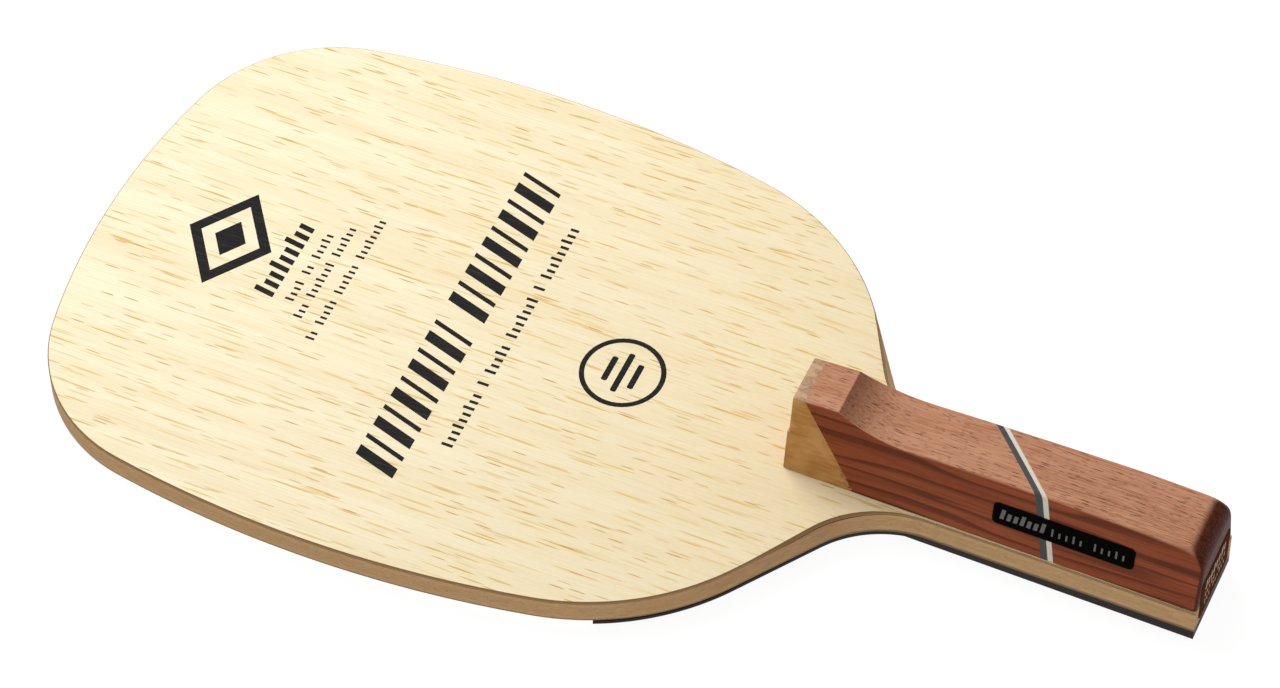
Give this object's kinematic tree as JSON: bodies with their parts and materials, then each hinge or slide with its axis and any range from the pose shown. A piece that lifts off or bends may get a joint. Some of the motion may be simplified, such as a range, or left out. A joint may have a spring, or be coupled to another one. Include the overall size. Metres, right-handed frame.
{
  "type": "table tennis paddle",
  "caption": "Bare penhold table tennis paddle: broad rounded wooden blade with fibre layers, carved hooked hardwood grip on one face and a thin dark handle plate behind.",
  "frame": {"origin": "centre of the bounding box in X and Y, on the underside of the plate behind the handle", "axes": "+X along the paddle from the blade's tip to the butt of the grip, +Z out of the playing face on the grip's side, +Y across the blade"},
  "size_m": [0.2462, 0.128, 0.0278],
  "materials": {
    "veneer": "thin satin lacquer over pale straight-grained wood",
    "fibre": "dark woven fibre in resin, sawn edge",
    "inner_ply": "sanded edge of a tan ply",
    "core": "sanded edge of a tan core",
    "back_sheet": "matt black film",
    "handle_plate": "matt black, softened edges",
    "wedge_wood": "sanded golden-brown wood",
    "grip_wood": "open-pored reddish hardwood, satin",
    "inlay_dark": "dark grey strip, sanded flush",
    "inlay_white": "off-white strip, sanded flush",
    "side_label": "black label, satin gloss",
    "butt_label": "silvery film label"
  },
  "bodies": {
    "root": {"front_veneer": "veneer", "front_fibre_layer": "fibre", "front_inner_ply": "inner_ply", "core_ply": "core", "back_inner_ply": "inner_ply", "back_fibre_layer": "fibre", "back_veneer": "veneer", "back_sheet": "back_sheet", "back_grip_plate": "handle_plate", "grip_nose_wedge": "wedge_wood", "grip_front_block": "grip_wood", "inlay_dark_strip": "inlay_dark", "inlay_white_strip": "inlay_white", "grip_rear_block": "grip_wood", "side_label": "side_label", "butt_label": "butt_label"}
  },
  "joints": []
}
